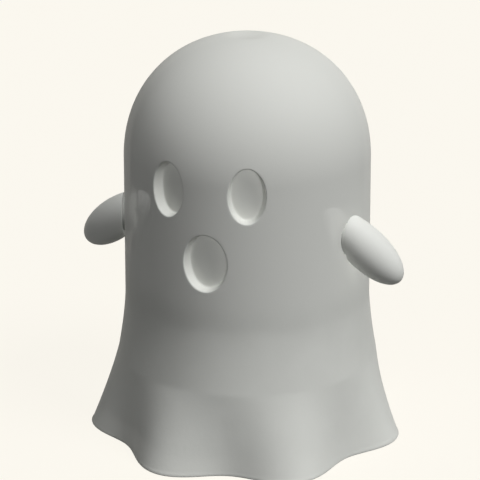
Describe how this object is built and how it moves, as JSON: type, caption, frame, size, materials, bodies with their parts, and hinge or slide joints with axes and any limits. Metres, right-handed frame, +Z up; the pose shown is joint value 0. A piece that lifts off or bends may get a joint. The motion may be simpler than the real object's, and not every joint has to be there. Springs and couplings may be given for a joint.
{
  "type": "light-up ghost figure",
  "caption": "Small see-through ghost figure with a folded skirt, swinging arms, a lamp inside and a battery base under the hem.",
  "frame": {"origin": "on the body's axis, on the level of the hem that the figure stands on", "axes": "+Z up through the crown; the face looks towards -Y; +X is the figure's left-hand side as the viewer who faces it sees it on the right"},
  "size_m": [0.1229, 0.1151, 0.1464],
  "materials": {
    "shell_plastic": "satin translucent white moulding",
    "arm_plastic": "satin white moulding",
    "base_plastic": "fine matt white moulding",
    "zinc_steel": "bright zinc plate",
    "cell_jacket": "plain shrink sleeve",
    "board_resin": "white solder mask",
    "lamp_resin": "diffused clear resin",
    "dark_plastic": "plain dark moulding"
  },
  "bodies": {
    "figure": {"body_shell": "shell_plastic", "base_cover": "base_plastic", "cover_screw_1": "zinc_steel", "cover_screw_2": "zinc_steel", "cover_screw_3": "zinc_steel", "battery_1": "cell_jacket", "battery_2": "cell_jacket", "contact_positive": "zinc_steel", "contact_negative": "zinc_steel", "contact_bridge": "zinc_steel", "light_board": "board_resin", "board_screw_1": "zinc_steel", "board_screw_2": "zinc_steel", "led_lamp": "lamp_resin", "board_resistor": "dark_plastic", "switch_body": "dark_plastic"},
    "left_arm_body": {"left_arm": "arm_plastic", "left_arm_washer": "base_plastic", "left_arm_cap": "arm_plastic"},
    "right_arm_body": {"right_arm": "arm_plastic", "right_arm_washer": "base_plastic", "right_arm_cap": "arm_plastic"},
    "door_body": {"battery_door": "base_plastic"},
    "knob_body": {"switch_knob": "dark_plastic"}
  },
  "joints": [
    {"name": "left_shoulder", "type": "hinge", "parent": "figure", "child": "left_arm_body", "pos_m": [-0.04343, -0.0118, 0.0802], "axis": [-0.965, -0.2622, 0], "continuous": true},
    {"name": "right_shoulder", "type": "hinge", "parent": "figure", "child": "right_arm_body", "pos_m": [0.04343, -0.0118, 0.0802], "axis": [-0.965, 0.2622, 0], "continuous": true},
    {"name": "battery_door_hinge", "type": "hinge", "parent": "figure", "child": "door_body", "pos_m": [-0.0234, 0, 0.0062], "axis": [0, 1, 0], "range_deg": [0, 90]},
    {"name": "switch_slide", "type": "slide", "parent": "figure", "child": "knob_body", "axis": [1, 0, 0], "range_m": [0, 0.004]}
  ]
}
